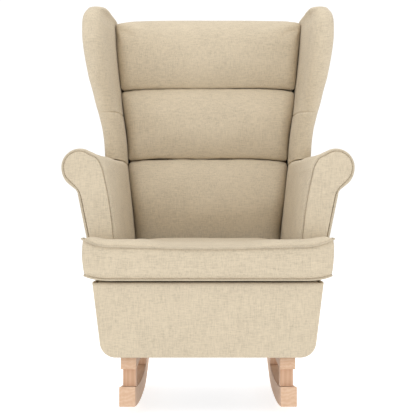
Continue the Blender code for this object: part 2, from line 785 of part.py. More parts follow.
def make_arm(word, side, materials):
    """A board on the seat rails, the padded arm with its roll, the outside cover and the scroll front."""
    board_outer = COVER_THICKNESS + 2 * GAP
    board_inner = board_outer + BOARD_THICKNESS
    notch = RAIL_TOP + GAP
    heights = [(BOARD_BOTTOM, FRONT_RAIL_DEPTH), (notch, FRONT_RAIL_DEPTH), (notch + GAP, ARM_FRONT)]
    heights += [(BEND_HEIGHT, ARM_FRONT), (BOARD_TOP, ARM_FRONT)]
    levels = []
    for z, front in heights:
        x_low, x_high = mirrored(side, outer_x(z) - board_inner, outer_x(z) - board_outer)
        levels.append((z, x_low, x_high, front, panel_front(z) - GAP))
    shape = bmesh.new()
    stack(shape, levels)
    finish_object(f"arm_board_{word}", shape, materials["frame_timber"])

    levels = []
    for z in (FRONT_PANEL_TOP + 2 * GAP, BOARD_TOP):
        x_low, x_high = mirrored(side, outer_x(z) - COVER_THICKNESS, outer_x(z))
        levels.append((z, x_low, x_high, ARM_FRONT, panel_front(z) - GAP))
    shape = bmesh.new()
    stack(shape, levels)
    finish_object(f"outside_arm_{word}", shape, materials["linen"])

    foot = [(outer_x(z) - board_inner - GAP, z) for z in (BOARD_TOP + GAP, ARM_BOTTOM)]

    def ring(taper, depth_of, clear_of_post):
        points = []
        for x, z in arm_top(taper) + foot:
            if clear_of_post and z < POST_TOP:
                x = max(x, post_outer(z) + 2 * GAP)
            points.append((side * x, depth_of(z), z))
        return points

    shape = bmesh.new()
    loft(
        shape,
        [
            ring(0, lambda z: ARM_FRONT, False),
            ring(1, lambda z: ARM_TAPER_DEPTH, False),
            ring(1, lambda z: post_front(z) - 5 * GAP, False),
            ring(1, lambda z: post_front(z) - 4 * GAP, True),
            ring(1, lambda z: panel_front(z) - GAP, True),
        ],
    )
    finish_object(f"arm_pad_{word}", shape, materials["linen"], smooth=True)

    scroll = arm_top(0) + [(outer_x(z), z) for z in (BOARD_TOP, FRONT_PANEL_TOP + 4 * GAP)]
    scroll[0] = (scroll[0][0], FRONT_PANEL_TOP + 4 * GAP)
    shape = bmesh.new()
    panel = inset_outline(scroll, ARM_PANEL_INSET)
    prism(shape, [(side * x, z) for x, z in panel], "depth", *ARM_PANEL_DEPTHS)
    finish_object(f"arm_front_panel_{word}", shape, materials["linen"])
    cord = [(side * x, ARM_PIPING_DEPTH, z) for x, z in inset_outline(scroll, PIPING_OFFSET)]
    tube(f"arm_piping_{word}", [cord], ARM_PIPING_RADIUS, materials["linen"], closed=True)


# Wings


def wing_section(height, outer, front, thickness):
    """A level slice of the right wing as (x, depth), from its round nose along the outer side to the post."""
    inner = outer - thickness
    corner, near = (front + behind for behind in WING_NOSE)
    rear = panel_front(height) - 2 * GAP
    beside_post = post_outer(height) + 2 * GAP
    post = post_front(height) - 5 * GAP
    inner_rear = WING_INNER_X + WING_INNER_FLARE * (height - POST_LEAN_HEIGHT)
    return [
        (inner, near),
        (inner + WING_NOSE_INSET, corner),
        ((inner + outer) / 2, front),
        (outer - WING_NOSE_INSET, corner),
        (outer, near),
        (blend(outer, WING_REAR_X, 0.55), blend(near, rear, 0.5)),
        (WING_REAR_X, rear),
        (beside_post, rear),
        (beside_post, post),
        (inner_rear, post - GAP),
        (blend(inner, inner_rear, 0.6), blend(near, post, 0.5)),
    ]


def wing_board_x(depth, z):
    """X of the middle of the wing's plywood board."""
    lean = POST_LEAN * (z - POST_LEAN_HEIGHT)
    return WING_BOARD_X + lean + WING_BOARD_LEAN * (panel_front(z) - depth)


def add_wing_board(shape, side, outline, half):
    rings = []
    for offset in (-half, half):
        rings.append([(side * (wing_board_x(depth, z) + offset), depth, z) for depth, z in outline])
    loft(shape, rings)


def make_wing(word, side, materials):
    """A plywood board beside the post and the padded wing around it."""
    rings = []
    for height, outer, front in WING_LEVELS:
        thickness = WING_TOP_THICKNESS if height == WING_LEVELS[-1][0] else WING_THICKNESS
        rings.append([(side * x, depth, height) for x, depth in wing_section(height, outer, front, thickness)])
    shape = bmesh.new()
    loft(shape, rings)
    pad = finish_object(f"wing_pad_{word}", shape, materials["linen"], smooth=True)

    bottom = WING_BOARD_OUTLINE[0][1]
    shape = bmesh.new()
    rear = [(panel_front(z) - 4 * GAP, z) for z in (WING_BOARD_TOP, bottom)]
    add_wing_board(shape, side, list(WING_BOARD_OUTLINE) + rear, WING_BOARD_HALF)
    finish_object(f"wing_board_{word}", shape, materials["frame_timber"])

    # The slot runs out through the pad's rear and bottom faces.
    past = 0.030
    top = WING_BOARD_TOP + 2 * GAP
    grown = [(depth - 2 * GAP, z) for depth, z in WING_BOARD_OUTLINE]
    grown[0] = (grown[0][0], bottom - past)
    grown[-1] = (grown[-1][0], top)
    grown += [(panel_front(top) + past, top), (panel_front(bottom) + past, bottom - past)]
    shape = bmesh.new()
    add_wing_board(shape, side, grown, WING_BOARD_HALF + 2 * GAP)
    cut(pad, make_cutter(f"wing_slot_{word}", shape))


# Seat cushion


def cushion_rings(skin):
    """The cushion's solid, skin deep inside its cover: chamfered edges and a raised crown."""
    rings = []
    for z, inset in (
        (CUSHION_BOTTOM + skin, EDGE_CHAMFER + skin),
        (CUSHION_BOTTOM + EDGE_CHAMFER, skin),
        (CUSHION_TOP - EDGE_CHAMFER, skin),
        (CUSHION_TOP - skin, EDGE_CHAMFER + skin),
        (CUSHION_CROWN - skin, CROWN_INSET + skin),
    ):
        rings.append([(x, depth, z) for x, depth in t_outline(inset)])
    return rings


def make_seat_cushion(materials):
    """A loose foam core in a zipped cover with piping round both edges."""
    linen = materials["linen"]
    shape = bmesh.new()
    loft(shape, cushion_rings(FABRIC + GAP))
    finish_object("seat_cushion_core", shape, materials["foam"])

    shape = bmesh.new()
    loft(shape, cushion_rings(0.0))
    cover = finish_object("seat_cushion_cover", shape, linen)
    shape = bmesh.new()
    loft(shape, cushion_rings(FABRIC))
    cut(cover, make_cutter("cushion_hollow", shape))
    shape = bmesh.new()
    block(shape, (-ZIP_HALF_WIDTH, ZIP_HALF_WIDTH), (CUSHION_REAR - 0.003, CUSHION_REAR + 0.010), ZIP_HEIGHTS)
    cut(cover, make_cutter("cushion_zip_opening", shape))

    for name, z in (
        ("cushion_piping_bottom", CUSHION_BOTTOM + PIPING_RADIUS - GAP),
        ("cushion_piping_top", CUSHION_TOP),
    ):
        path = [(x, depth, z) for x, depth in t_outline(-PIPING_OFFSET)]
        tube(name, [path], PIPING_RADIUS, linen, closed=True)

    shape = bmesh.new()
    zip_front = CUSHION_REAR + GAP
    beyond, above = ZIP_TAPE_MARGINS
    tape = (ZIP_HEIGHTS[0] - above, ZIP_HEIGHTS[1] + above)
    tape_half = ZIP_HALF_WIDTH + beyond
    block(shape, (-tape_half, tape_half), (zip_front, zip_front + ZIP_TAPE_THICKNESS), tape)
    zip_tape = finish_object("cushion_zip", shape, materials["zip_plastic"])
    shape = bmesh.new()
    slider_front = zip_front + ZIP_TAPE_THICKNESS / 2
    slider_x = (-ZIP_HALF_WIDTH, SLIDER_LENGTH - ZIP_HALF_WIDTH)
    slider_rear = zip_front + ZIP_TAPE_THICKNESS + SLIDER_THICKNESS
    block(shape, slider_x, (slider_front, slider_rear), ZIP_HEIGHTS)
    join(zip_tape, make_cutter("zip_slider", shape))


def main():
    clear_scene()
    materials = make_materials()
    bolt_holes = make_base(materials)
    make_seat_frame(materials, bolt_holes)
    make_springs(materials)
    make_deck(materials)
    make_front_panel(materials)
    make_outside_back(materials)
    make_back_frame(materials)
    make_back_cushions(materials)
    for word, side in SIDES:
        make_side_panel(f"side_panel_{word}", side, materials["linen"])
        make_arm(word, side, materials)
        make_wing(word, side, materials)
    make_seat_cushion(materials)


main()
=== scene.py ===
"""Looks of a wing-back rocking armchair: linen upholstery over the frame, oiled beech runners and legs.

Metres, in the frame's own axes: X across, Y from front to back, Z up. Depths are measured back from the front
of the chair and turned into Y by place(). Pieces are shaped for the right side and mirrored to the left.
"""

import math

import bmesh
import bpy
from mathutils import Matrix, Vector, noise


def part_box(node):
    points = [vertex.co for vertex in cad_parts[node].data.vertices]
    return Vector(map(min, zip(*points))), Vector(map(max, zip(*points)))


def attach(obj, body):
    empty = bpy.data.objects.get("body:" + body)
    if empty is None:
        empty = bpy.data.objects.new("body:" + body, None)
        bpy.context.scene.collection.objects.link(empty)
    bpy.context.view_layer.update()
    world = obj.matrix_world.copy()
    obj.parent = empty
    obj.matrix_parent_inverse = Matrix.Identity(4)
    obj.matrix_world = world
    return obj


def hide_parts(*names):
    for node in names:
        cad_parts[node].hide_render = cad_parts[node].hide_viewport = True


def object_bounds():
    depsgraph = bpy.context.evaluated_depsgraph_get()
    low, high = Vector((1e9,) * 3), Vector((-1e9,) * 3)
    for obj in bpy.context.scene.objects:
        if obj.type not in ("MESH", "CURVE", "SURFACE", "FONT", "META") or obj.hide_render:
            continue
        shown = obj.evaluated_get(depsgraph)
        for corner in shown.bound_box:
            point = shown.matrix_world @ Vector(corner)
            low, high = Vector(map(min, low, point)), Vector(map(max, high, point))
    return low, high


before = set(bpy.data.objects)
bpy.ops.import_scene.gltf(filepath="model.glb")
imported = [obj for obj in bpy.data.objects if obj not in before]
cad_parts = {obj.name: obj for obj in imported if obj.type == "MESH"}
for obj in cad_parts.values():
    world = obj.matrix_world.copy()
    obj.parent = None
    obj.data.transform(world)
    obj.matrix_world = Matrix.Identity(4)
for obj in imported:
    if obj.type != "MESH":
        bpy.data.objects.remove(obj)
CAD_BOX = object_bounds()

# The frame's own measures that the soft pieces follow
HALF_DEPTH = CAD_BOX[1].y
CUSHION_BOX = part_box("seat_cushion_cover")
DECK_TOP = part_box("seat_deck")[1].z
BODY_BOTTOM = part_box("front_panel")[0].z
FRONT_PANEL_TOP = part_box("front_panel")[1].z
BOARD_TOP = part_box("arm_board_right")[1].z
POST_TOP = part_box("back_post_right")[1].z

BEND_HEIGHT, BEND_X = 0.314, 0.274
LOWER_LEAN, UPPER_LEAN = 0.1235, 0.2035
CORNER_RADIUS = 0.038
COVER, HEM = 0.007, 0.003
POST_FRONT, POST_DEPTH = 0.633, 0.040
RECLINE_START, RECLINE = 0.300, 0.1475
ARM_FRONT, ARM_BOTTOM = 0.107, 0.318
ARM_LIP, TAPER_END = 0.0100, 0.500
BOARD_THICKNESS, BOARD_GAP = 0.018, 0.0012
ROLL_CENTRE = (0.311, 0.588)
ROLL_RADIUS, ROLL_DROP = 0.046, 0.052
NECK = (0.3195, 0.5320)
CUSHION_WELT, ARM_WELT = 0.0022, 0.0021
CLEAR = 0.0008


def place(x, depth, z):
    return Vector((x, depth - HALF_DEPTH, z))


def blend(low, high, part):
    return low + (high - low) * part


def ease(part):
    part = min(1.0, max(0.0, part))
    return part * part * (3 - 2 * part)


def outer_x(z):
    lean = LOWER_LEAN if z < BEND_HEIGHT else UPPER_LEAN
    return BEND_X + lean * (z - BEND_HEIGHT)


def post_front(z):
    return POST_FRONT + RECLINE * max(0.0, z - RECLINE_START)


def panel_front(z):
    return post_front(z) + POST_DEPTH + 0.001


def post_outer(z):
    return 0.236 + 0.06 * (z - 0.63)


def inner_x(z, taper):
    rise = z - ARM_BOTTOM
    return blend(0.2207 - 0.041 * rise + 0.55 * rise**2, 0.1935 + 0.05 * rise + 0.16 * rise**2, taper)


def arm_taper(depth):
    """How far along its taper the arm is at a depth: 0 behind its front lip, 1 near the post."""
    return min(1.0, max(0.0, (depth - ARM_FRONT - ARM_LIP) / (TAPER_END - ARM_FRONT - ARM_LIP)))


def body_corner(radius, steps):
    """The round lower corner of the body on the right, from its bottom edge up to its side."""
    centre_z = BODY_BOTTOM - HEM + CORNER_RADIUS
    tilt = math.atan(LOWER_LEAN)
    centre_x = outer_x(centre_z) - CORNER_RADIUS / math.cos(tilt)
    points = []
    for step in range(steps + 1):
        angle = blend(-math.pi / 2, -tilt, step / steps)
        points.append((centre_x + radius * math.cos(angle), centre_z + radius * math.sin(angle)))
    return points


# Curves and meshes


def spline_through(points, steps):
    """Catmull-Rom points through a list of tuples, steps to each span."""
    last = len(points) - 1
    made = []
    for index in range(last):
        near = [points[min(last, max(0, index + shift))] for shift in (-1, 0, 1, 2)]
        for step in range(steps):
            t = step / steps
            weights = (
                -0.5 * t + t * t - 0.5 * t**3,
                1 - 2.5 * t * t + 1.5 * t**3,
                0.5 * t + 2 * t * t - 1.5 * t**3,
                -0.5 * t * t + 0.5 * t**3,
            )
            axes = range(len(near[0]))
            made.append(tuple(sum(w * q[axis] for w, q in zip(weights, near)) for axis in axes))
    made.append(tuple(points[-1]))
    return made


def evenly(outline, spacing):
    """Walks round a closed outline and returns points at an even spacing along it."""
    line = list(outline) + [outline[0]]
    total = sum(math.dist(a, b) for a, b in zip(line, line[1:]))
    count = max(2, round(total / spacing))
    step = total / count
    made, travelled, target = [tuple(line[0])], 0.0, step
    for a, b in zip(line, line[1:]):
        length = math.dist(a, b)
        while length > 0 and travelled + length >= target - 1e-9 and len(made) < count:
            part = (target - travelled) / length
            made.append(tuple(blend(p, q, part) for p, q in zip(a, b)))
            target += step
        travelled += length
    return made


def inset_outline(outline, distance):
    """Moves each edge of a closed outline inwards by a distance, whichever way round it runs."""
    area = sum(a[0] * b[1] - b[0] * a[1] for a, b in zip(outline, outline[1:] + outline[:1]))
    turn = 1 if area > 0 else -1
    moved = []
    for before, here, after in zip(outline[-1:] + outline[:-1], outline, outline[1:] + outline[:1]):
        across = up = 0.0
        for start, end in ((before, here), (here, after)):
            run, rise = end[0] - start[0], end[1] - start[1]
            length = math.hypot(run, rise) or 1e-9
            across -= turn * rise / length
            up += turn * run / length
        scale = 2 * distance / max(across * across + up * up, 0.5)
        moved.append((here[0] + across * scale, here[1] + up * scale))
    return moved


def fillet(corners, steps=6):
    """Rounds the corners of a closed outline: each corner is (x, y, radius)."""
    made = []
    count = len(corners)
    for index, (x, y, radius) in enumerate(corners):
        here = Vector((x, y))
        before = (Vector(corners[index - 1][:2]) - here).normalized()
        after = (Vector(corners[(index + 1) % count][:2]) - here).normalized()
        half = before.angle(after) / 2
        reach = radius / math.tan(half)
        start, end = here + before * reach, here + after * reach
        centre = here + (before + after).normalized() * (radius / math.sin(half))
        for step in range(steps + 1):
            spoke = (start - centre).slerp(end - centre, step / steps)
            made.append(tuple(centre + spoke.normalized() * radius))
    return made


def edge_distance(point, outline):
    """Distance in the plane from a point to a closed outline."""
    here, best = Vector(point), 1.0
    for a, b in zip(outline, outline[1:] + outline[:1]):
        start, run = Vector(a), Vector(b) - Vector(a)
        part = min(1.0, max(0.0, (here - start).dot(run) / max(run.length_squared, 1e-12)))
        best = min(best, (here - start - run * part).length)
    return best


def new_object(name, shape, smooth=True):
    bmesh.ops.recalc_face_normals(shape, faces=shape.faces)
    mesh = bpy.data.meshes.new(name)
    shape.to_mesh(mesh)
    shape.free()
    if smooth:
        mesh.shade_smooth()
    made = bpy.data.objects.new(name, mesh)
    bpy.context.scene.collection.objects.link(made)
    return made


def add_loft(shape, rings, cap_rings=2):
    """Adds a closed skin through rings of points, its two ends closed by shrinking rings."""
    rings = [list(ring) for ring in rings]
    for end, ring in ((0, rings[0]), (-1, rings[-1])):
        centre = sum(ring, Vector()) / len(ring)
        for step in range(1, cap_rings + 1):
            smaller = [point.lerp(centre, 0.8 * step / cap_rings) for point in ring]
            if end == 0:
                rings.insert(0, smaller)
            else:
                rings.append(smaller)
    rows = [[shape.verts.new(point) for point in ring] for ring in rings]
    count = len(rows[0])
    for row, following in zip(rows, rows[1:]):
        for index in range(count):
            after = (index + 1) % count
            shape.faces.new((row[index], row[after], following[after], following[index]))
    shape.faces.new(reversed(rows[0]))
    shape.faces.new(rows[-1])


def loft_object(name, rings, cap_rings=2):
    shape = bmesh.new()
    add_loft(shape, rings, cap_rings)
    return new_object(name, shape)


def skin_grid(shape, grid, turned=False):
    """Faces between the rows of a grid of vertices, turned over for the back of a panel."""
    for row, following in zip(grid, grid[1:]):
        for column in range(len(row) - 1):
            corners = (row[column], row[column + 1], following[column + 1], following[column])
            shape.faces.new(reversed(corners) if turned else corners)


def panel_object(name, rows, to_point, thickness, crown, edge, columns):
    """A padded panel: rows are (height, low, high), and to_point(across, height, proud) places its points.

    Its rim is round over the width of the edge, and its middle stands proud by the crown.
    """
    outline = [(low, height) for height, low, _ in rows]
    outline += [(high, height) for height, _, high in reversed(rows)]
    crown_reach, wave_reach, wave_share, wave_scale = 0.045, 0.03, 0.25, 11
    shape = bmesh.new()
    front, back = [], []
    for height, low, high in rows:
        front_row, back_row = [], []
        for column in range(columns + 1):
            part = column / columns
            across = blend(low, high, 0.5 - 0.5 * math.cos(math.pi * part))
            border = edge_distance((across, height), outline)
            roundness = math.sqrt(max(0.0, 1 - (1 - min(border / edge, 1)) ** 2))
            raised = crown * (1 - math.exp(-border / crown_reach))
            unevenness = noise.noise(Vector((across * wave_scale, height * wave_scale, 3.7)))
            wave = wave_share * crown * unevenness * ease(border / wave_reach)
            half = thickness / 2 * roundness
            front_row.append(shape.verts.new(to_point(across, height, half + raised + wave)))
            if border < 1e-7:
                back_row.append(front_row[-1])
            else:
                back_row.append(shape.verts.new(to_point(across, height, -half)))
        front.append(front_row)
        back.append(back_row)
    skin_grid(shape, front)
    skin_grid(shape, back, turned=True)
    return new_object(name, shape)


def cord_object(name, points, radius):
    """A sewn cord: a closed curve with a round section through the points."""
    curve = bpy.data.curves.new(name, "CURVE")
    curve.dimensions = "3D"
    curve.bevel_depth = radius
    curve.bevel_resolution = 3
    spline = curve.splines.new("POLY")
    spline.points.add(len(points) - 1)
    for point, where in zip(spline.points, points):
        point.co = (*where, 1.0)
    spline.use_cyclic_u = True
    made = bpy.data.objects.new(name, curve)
    bpy.context.scene.collection.objects.link(made)
    return made


def subdivide(piece):
    modifier = piece.modifiers.new("smooth", "SUBSURF")
    modifier.levels = modifier.render_levels = 1


def mirror_copy(piece, name):
    """The left-hand copy of a right-hand piece."""
    twin = bpy.data.objects.new(name, piece.data.copy())
    if piece.type == "MESH":
        for vertex in twin.data.vertices:
            vertex.co.x = -vertex.co.x
        twin.data.flip_normals()
    else:
        for spline in twin.data.splines:
            for point in spline.points:
                point.co.x = -point.co.x
    if piece.modifiers:
        subdivide(twin)
    bpy.context.scene.collection.objects.link(twin)
    return twin


def wrinkle(piece, height, scale, seed, keep):
    """Moves the points along their normals by smooth noise; keep(point) is 0 where the cloth is sewn."""
    mesh = piece.data
    normals = [vertex.normal.copy() for vertex in mesh.vertices]
    for vertex, normal in zip(mesh.vertices, normals):
        where = Vector((vertex.co.x * scale[0] + seed, vertex.co.y * scale[1], vertex.co.z * scale[2]))
        vertex.co += normal * (height * keep(vertex.co) * noise.noise(where))


def swell(piece, pinned, pressure, cap):
    """Inflates a stuffed cover as cloth: sewn points stay, the others move by no more than about cap."""
    frames = 20
    mesh = piece.data
    group = piece.vertex_groups.new(name="sewn")
    group.add(pinned, 1.0, "REPLACE")
    cloth = piece.modifiers.new("swell", "CLOTH")
    cloth.settings.quality = 5
    cloth.settings.mass = 0.3
    cloth.settings.use_pressure = True
    cloth.settings.uniform_pressure_force = pressure
    cloth.settings.effector_weights.gravity = 0
    cloth.settings.vertex_group_mass = group.name
    cloth.point_cache.frame_start = 1
    cloth.point_cache.frame_end = frames
    scene = bpy.context.scene
    for number in range(1, frames + 1):
        scene.frame_set(number)
    swollen = piece.evaluated_get(bpy.context.evaluated_depsgraph_get()).to_mesh()
    places = [vertex.co.copy() for vertex in swollen.vertices]
    piece.evaluated_get(bpy.context.evaluated_depsgraph_get()).to_mesh_clear()
    piece.modifiers.remove(cloth)
    piece.vertex_groups.remove(group)
    scene.frame_set(1)
    for vertex, there in zip(mesh.vertices, places):
        move = there - vertex.co
        if move.length > 1e-6:
            vertex.co += move * (cap * math.tanh(move.length / cap) / move.length)


# Materials


class Finish:
    """A Principled material and short calls that add nodes to it."""

    def __init__(self, name, roughness=0.8, metallic=0.0, sheen=0.0, gloss=0.5):
        self.material = bpy.data.materials.new(name)
        self.material.use_nodes = True
        self.tree = self.material.node_tree
        self.shader = self.tree.nodes["Principled BSDF"]
        settings = {"Roughness": roughness, "Metallic": metallic, "Specular IOR Level": gloss}
        settings.update({"Sheen Weight": sheen, "Sheen Roughness": 0.45})
        for key, value in settings.items():
            self.shader.inputs[key].default_value = value
        coordinates = self.tree.nodes.new("ShaderNodeTexCoord")
        self.where = coordinates.outputs["Object"]
        self.normal = coordinates.outputs["Normal"]

    def add(self, kind, inputs, **settings):
        node = self.tree.nodes.new(kind)
        for key, value in settings.items():
            setattr(node, key, value)
        for key, value in inputs.items():
            if isinstance(value, bpy.types.NodeSocket):
                self.tree.links.new(value, node.inputs[key])
            else:
                node.inputs[key].default_value = value
        return node

    def calc(self, operation, a, b=0.0, c=0.0):
        return self.add("ShaderNodeMath", {0: a, 1: b, 2: c}, operation=operation).outputs[0]

    def split(self, vector):
        return self.add("ShaderNodeSeparateXYZ", {0: vector}).outputs

    def weighted(self, *terms):
        """The sum of sockets, each given as a pair with its weight."""
        total = None
        for socket, weight in terms:
            part = self.calc("MULTIPLY", socket, weight)
            total = part if total is None else self.calc("ADD", total, part)
        return total

    def noise(self, scale, detail=2.0, roughness=0.5):
        """Noise of the object's place, stretched by a scale for each axis."""
        stretched = self.add("ShaderNodeVectorMath", {0: self.where, 1: scale}, operation="MULTIPLY")
        inputs = {"Vector": stretched.outputs[0], "Scale": 1.0, "Detail": detail, "Roughness": roughness}
        return self.add("ShaderNodeTexNoise", inputs).outputs["Fac"]

    def mix(self, factor, a, b):
        return self.add("ShaderNodeMix", {0: factor, 2: a, 3: b}, data_type="FLOAT").outputs[0]

    def ramp(self, factor, stops):
        node = self.add("ShaderNodeValToRGB", {0: factor})
        elements = node.color_ramp.elements
        while len(elements) < len(stops):
            elements.new(0.5)
        for element, (position, colour) in zip(elements, stops):
            element.position = position
            element.color = (*colour, 1.0)
        return node.outputs["Color"]

    def rough(self, factor, low, high):
        inputs = {"Value": factor, "To Min": low, "To Max": high}
        made = self.add("ShaderNodeMapRange", inputs).outputs[0]
        self.tree.links.new(made, self.shader.inputs["Roughness"])

    def colour(self, socket):
        self.tree.links.new(socket, self.shader.inputs["Base Color"])

    def bump(self, height, distance, strength=0.6, below=None):
        inputs = {"Height": height, "Distance": distance, "Strength": strength}
        if below is not None:
            inputs["Normal"] = below
        made = self.add("ShaderNodeBump", inputs).outputs[0]
        self.tree.links.new(made, self.shader.inputs["Normal"])
        return made


def shade(colour, amount):
    return tuple(min(1.0, part * amount) for part in colour)


THREAD_PITCH = 0.0013


def linen(name, colour, contrast=1.0):
    """A heathered plain weave: crossing threads, slubs drawn out along them and soft blotches."""
    cloth = Finish(name, roughness=0.88, sheen=0.10, gloss=0.12)
    warp = cloth.noise((9, 9, 9), detail=1.0)
    wobble = cloth.calc("MULTIPLY", warp, THREAD_PITCH * 1.5)
    x, y, z = cloth.split(cloth.where)
    turns = math.tau / THREAD_PITCH / 2
    threads = []
    for along in (x, y, z):
        threads.append(cloth.calc("SINE", cloth.calc("MULTIPLY", cloth.calc("ADD", along, wobble), turns)))
    shares = [cloth.calc("POWER", cloth.calc("ABSOLUTE", part), 3.0) for part in cloth.split(cloth.normal)]
    total = cloth.calc("ADD", cloth.calc("ADD", shares[0], shares[1]), shares[2])
    upward = cloth.calc("DIVIDE", shares[2], total)
    weave = None
    for facing, (first, second) in enumerate(((1, 2), (0, 2), (0, 1))):
        crossing = cloth.calc("MULTIPLY", threads[first], threads[second])
        part = cloth.calc("MULTIPLY", crossing, cloth.calc("DIVIDE", shares[facing], total))
        weave = part if weave is None else cloth.calc("ADD", weave, part)
    level_slubs = cloth.noise((62, 62, 470), detail=3.0, roughness=0.66)
    top_slubs = cloth.noise((62, 470, 62), detail=3.0, roughness=0.66)
    slubs = cloth.mix(upward, level_slubs, top_slubs)
    upright_slubs = cloth.noise((470, 470, 52), detail=3.0, roughness=0.66)
    blotches = cloth.noise((14, 14, 14), detail=3.0)
    grains = cloth.noise((700, 700, 700), detail=1.0)
    heather = cloth.weighted(
        (slubs, 0.37), (upright_slubs, 0.35), (blotches, 0.11), (grains, 0.11), (weave, 0.035)
    )
    average, spread = 0.47, 0.115 * contrast
    stops = [
        (average - spread, shade(colour, 1 - 0.22 * contrast)),
        (average, colour),
        (average + spread, shade(colour, 1 + 0.12 * contrast)),
    ]
    cloth.colour(cloth.ramp(heather, stops))
    cloth.rough(heather, 0.80, 0.97)
    under = cloth.bump(slubs, 0.0009, 0.45)
    crossed = cloth.calc("ADD", weave, cloth.calc("MULTIPLY", upright_slubs, 1.5))
    cloth.bump(crossed, 0.00035, 0.55, under)
    return cloth.material


def wood(name, grain_axis, light, dark, pore_share, rough_range):
    """Straight-grained timber: year lines and short pores drawn out along one axis."""
    timber = Finish(name, roughness=0.6, gloss=0.15)
    along = "xyz".index(grain_axis)
    wide, fine = [26.0] * 3, [900.0] * 3
    wide[along], fine[along] = 1.3, 34.0
    drift = timber.noise(tuple(wide), detail=3.0)
    across = timber.split(timber.where)[2 if along == 1 else 0]
    lines = timber.weighted((across, 620.0), (drift, 26.0))
    years = timber.calc("MULTIPLY_ADD", timber.calc("SINE", lines), 0.5, 0.5)
    pores = timber.noise(tuple(fine), detail=2.0, roughness=0.6)
    streaks = timber.noise(tuple(part * 5 for part in wide), detail=3.0)
    tone = timber.weighted((years, 0.22), (streaks, 0.55), (pores, pore_share))
    middle = tuple(blend(a, b, 0.5) for a, b in zip(light, dark))
    timber.colour(timber.ramp(tone, [(0.28, light), (0.55, middle), (0.86, dark)]))
    timber.rough(tone, *rough_range)
    timber.bump(pores, 0.00025, 0.35)
    return timber.material


def plain_finish(name, light, dark, scale, distance, rough_range, metallic=0.0):
    """A finish whose colour, roughness and bump all follow one stretched noise."""
    made = Finish(name, metallic=metallic)
    grain = made.noise(scale, detail=3.0, roughness=0.6)
    made.colour(made.ramp(grain, [(0.35, dark), (0.65, light)]))
    made.rough(grain, *rough_range)
    made.bump(grain, distance, 0.5)
    return made.material


def webbing_material():
    """Woven elastic webbing: a fine checker of ribs under a fuzz."""
    strap = Finish("strap_weave", roughness=0.9)
    x, _, z = strap.split(strap.where)
    waves = [strap.calc("SINE", strap.calc("MULTIPLY", along, 2400.0)) for along in (x, z)]
    ribs = strap.calc("MULTIPLY", *waves)
    fuzz = strap.noise((300, 300, 300), detail=2.0)
    tone = strap.calc("MULTIPLY_ADD", ribs, 0.15, fuzz)
    strap.colour(strap.ramp(tone, [(0.35, (0.030, 0.026, 0.020)), (0.65, (0.085, 0.075, 0.058))]))
    strap.rough(tone, 0.8, 0.98)
    strap.bump(ribs, 0.0004, 0.6)
    return strap.material


LINEN = (0.602, 0.515, 0.384)
BEECH = {"pore_share": 0.32, "rough_range": (0.52, 0.68)}
PINE = {"pore_share": 0.30, "rough_range": (0.6, 0.8)}
PINE.update(light=(0.66, 0.49, 0.30), dark=(0.45, 0.29, 0.15))
MATERIALS = {
    "linen": linen("heathered_linen", LINEN),
    "piping": linen("piping_linen", shade(LINEN, 0.86), 0.8),
    "beech_level": wood("beech_level_grain", "y", (0.69, 0.495, 0.352), (0.575, 0.365, 0.237), **BEECH),
    "beech_upright": wood("beech_upright_grain", "z", (0.72, 0.497, 0.347), (0.585, 0.360, 0.232), **BEECH),
    "timber_upright": wood("pine_upright_grain", "z", **PINE),
    "timber_across": wood("pine_cross_grain", "x", **PINE),
    "timber_level": wood("pine_level_grain", "y", **PINE),
    "steel": plain_finish(
        "zinc_steel", (0.62, 0.62, 0.62), (0.42, 0.42, 0.43), (300, 60, 300), 0.0001, (0.25, 0.45), 1.0
    ),
    "underlining": plain_finish(
        "spunbond_lining", (0.030, 0.030, 0.031), (0.012, 0.012, 0.013), (500, 500, 500), 0.0003, (0.85, 0.98)
    ),
    "zip": plain_finish(
        "zip_tape", (0.52, 0.43, 0.31), (0.36, 0.29, 0.20), (1500, 1500, 200), 0.0003, (0.5, 0.7)
    ),
    "webbing": webbing_material(),
}

NODE_FINISHES = (
    ("runner_", "beech_level"), ("bearer_", "beech_level"), ("front_leg_", "beech_upright"),
    ("rear_leg_", "beech_upright"), ("seat_rail_front", "timber_across"), ("seat_rail_rear", "timber_across"),
    ("seat_rail_", "timber_level"), ("back_post_", "timber_upright"), ("back_rail_", "timber_across"),
    ("arm_board_", "timber_level"), ("wing_board_", "timber_upright"), ("back_webbing", "webbing"),
    ("seat_spring_", "steel"), ("spring_strip_", "steel"), ("base_bolt_", "steel"), ("back_bolt_", "steel"),
    ("cushion_zip", "zip"),
)


def finish_nodes():
    """Gives each hard CAD node its finish, and eases the sharp edges of the legs."""
    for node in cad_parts:
        piece = bpy.data.objects[node]
        for start, finish in NODE_FINISHES:
            if node.startswith(start):
                for slot in piece.material_slots:
                    slot.link = "OBJECT"
                    slot.material = MATERIALS[finish]
                break
        if node.startswith(("front_leg_", "rear_leg_")):
            bevel = piece.modifiers.new("eased_edges", "BEVEL")
            bevel.width = 0.0014
            bevel.segments = 2
            bevel.limit_method = "ANGLE"


def dress(piece, body, nodes, material):
    """Material, body and replaced nodes of one finished piece."""
    piece.data.materials.append(MATERIALS[material])
    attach(piece, body)
    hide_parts(*nodes)


def dress_pair(right, base, node, material="linen"):
    """Mirrors a right-hand piece and dresses both; node is the solid each stands for, without its side."""
    left = mirror_copy(right, f"{base}_left")
    for piece, side in ((right, "right"), (left, "left")):
        dress(piece, "chair", [f"{node}_{side}"], material)


# Inner faces of the arms and the wings, which the back cushions lie between

